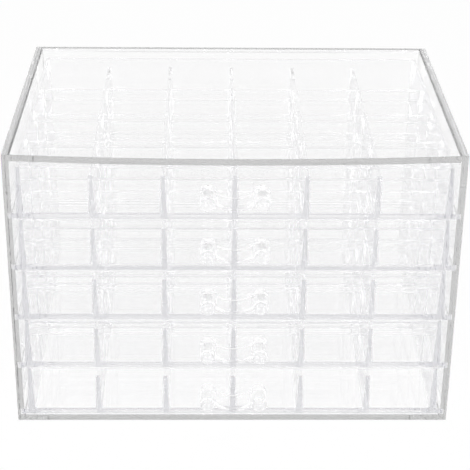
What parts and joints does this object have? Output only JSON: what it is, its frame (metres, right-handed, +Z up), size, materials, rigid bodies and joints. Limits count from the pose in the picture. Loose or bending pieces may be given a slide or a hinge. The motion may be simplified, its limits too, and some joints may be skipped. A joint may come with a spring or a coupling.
{
  "type": "nail polish organizer drawers",
  "caption": "Clear desktop organizer: an acrylic cabinet with a stack of sliding trays, each a grid of small compartments with a bow handle.",
  "frame": {"origin": "middle of the cabinet's base, on the surface it stands on", "axes": "+Z up, +X to the right as seen from the front, drawers open towards -Y"},
  "size_m": [0.235, 0.1797, 0.158],
  "materials": {
    "sheet": "clear acrylic sheet, polished edges",
    "tray": "clear injection-moulded styrene, gloss",
    "handle": "clear injection-moulded styrene, gloss"
  },
  "bodies": {
    "cabinet": {"side_panel_left": "sheet", "side_panel_right": "sheet", "top_panel": "sheet", "bottom_panel": "sheet", "back_panel": "sheet"},
    "drawer_1": {"drawer_tray_1": "tray", "drawer_handle_1": "handle"},
    "drawer_2": {"drawer_tray_2": "tray", "drawer_handle_2": "handle"},
    "drawer_3": {"drawer_tray_3": "tray", "drawer_handle_3": "handle"},
    "drawer_4": {"drawer_tray_4": "tray", "drawer_handle_4": "handle"},
    "drawer_5": {"drawer_tray_5": "tray", "drawer_handle_5": "handle"}
  },
  "joints": [
    {"name": "drawer_1_slide", "type": "slide", "parent": "cabinet", "child": "drawer_1", "axis": [0, -1, 0], "range_m": [0, 0.125]},
    {"name": "drawer_2_slide", "type": "slide", "parent": "cabinet", "child": "drawer_2", "axis": [0, -1, 0], "range_m": [0, 0.125]},
    {"name": "drawer_3_slide", "type": "slide", "parent": "cabinet", "child": "drawer_3", "axis": [0, -1, 0], "range_m": [0, 0.125]},
    {"name": "drawer_4_slide", "type": "slide", "parent": "cabinet", "child": "drawer_4", "axis": [0, -1, 0], "range_m": [0, 0.125]},
    {"name": "drawer_5_slide", "type": "slide", "parent": "cabinet", "child": "drawer_5", "axis": [0, -1, 0], "range_m": [0, 0.125]}
  ]
}
